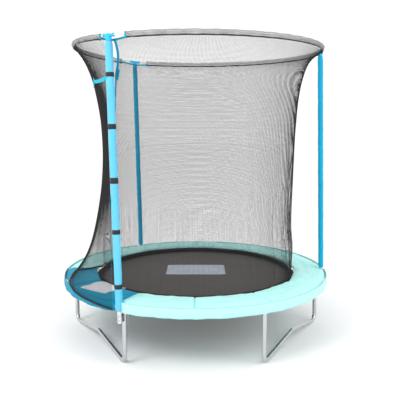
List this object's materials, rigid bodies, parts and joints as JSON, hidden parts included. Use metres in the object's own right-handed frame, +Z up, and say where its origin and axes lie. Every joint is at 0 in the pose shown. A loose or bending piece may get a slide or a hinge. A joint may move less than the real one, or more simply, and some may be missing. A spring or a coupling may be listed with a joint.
{
  "type": "trampoline",
  "caption": "Round backyard trampoline with bent tube legs, padded spring cover, a netted enclosure on padded poles and a crawl-in door flap.",
  "frame": {"origin": "on the ground, under the middle of the mat", "axes": "+Z up; +X to the right-hand pole; -Y towards the front, with the door flap to the left"},
  "size_m": [1.8317, 1.8304, 1.936],
  "materials": {
    "galvanised_steel": "galvanised",
    "leg_steel": "galvanised, bright",
    "pole_steel": "galvanised, bright",
    "grey_plastic": "moulded",
    "blue_foam": "thin sleeve over foam",
    "light_blue_sleeve": "padded fabric sleeve",
    "cyan_plastic": "moulded",
    "fibreglass": "pultruded rod",
    "mat_weave": "woven polypropylene",
    "black_webbing": "woven webbing",
    "printed_panel": "flat print, no text",
    "spring_steel": "zinc plated",
    "mint_cover": "coated fabric, satin",
    "blue_cover": "coated fabric, satin",
    "plain_patch": "flat print, no text",
    "net_mesh": "open knitted mesh",
    "ring_mesh": "fine mesh",
    "black_strap": "hook and loop strap",
    "teal_webbing": "woven webbing"
  },
  "bodies": {
    "frame": {"rail_1": "galvanised_steel", "rail_2": "galvanised_steel", "rail_3": "galvanised_steel", "rail_4": "galvanised_steel", "rail_5": "galvanised_steel", "rail_6": "galvanised_steel", "rod_ferrules": "galvanised_steel", "pole_bolts": "galvanised_steel", "pole_nuts": "galvanised_steel", "leg_left": "leg_steel", "leg_right": "leg_steel", "leg_back": "leg_steel", "pole_right": "pole_steel", "pole_back": "pole_steel", "pole_door": "pole_steel", "pole_plugs": "grey_plastic", "pole_spacers": "grey_plastic", "foam_right": "blue_foam", "foam_back": "blue_foam", "foam_door": "light_blue_sleeve", "cap_right": "cyan_plastic", "cap_back": "cyan_plastic", "cap_door": "cyan_plastic", "rod_back": "fibreglass", "rod_left": "fibreglass", "rod_front": "fibreglass", "springs": "spring_steel", "pad_01": "mint_cover", "pad_02": "mint_cover", "pad_03": "mint_cover", "pad_04": "mint_cover", "pad_05": "mint_cover", "pad_06": "mint_cover", "pad_07": "blue_cover", "pad_08": "blue_cover", "pad_09": "mint_cover", "pad_10": "mint_cover", "pad_11": "mint_cover", "pad_12": "mint_cover", "skirt_mint": "mint_cover", "skirt_blue": "blue_cover", "door_patch": "plain_patch", "net_front": "net_mesh", "net_back": "net_mesh", "net_left": "net_mesh", "net_door": "net_mesh", "flap_hem": "black_webbing", "pad_ties": "black_strap", "ring_sleeve": "ring_mesh", "net_binding": "black_webbing", "pole_straps": "black_strap", "door_strap": "teal_webbing", "ring_straps": "teal_webbing", "door_binding": "teal_webbing", "hang_strap": "teal_webbing"},
    "bed": {"mat": "mat_weave", "mat_border": "black_webbing", "mat_badge": "printed_panel", "v_rings": "spring_steel"}
  },
  "joints": [
    {"name": "mat_bounce", "type": "slide", "parent": "frame", "child": "bed", "axis": [0, 0, 1], "range_m": [-0.12, 0], "stiffness_N_per_m": 6000, "springref_m": 0.008, "deforming": ["springs"]}
  ]
}
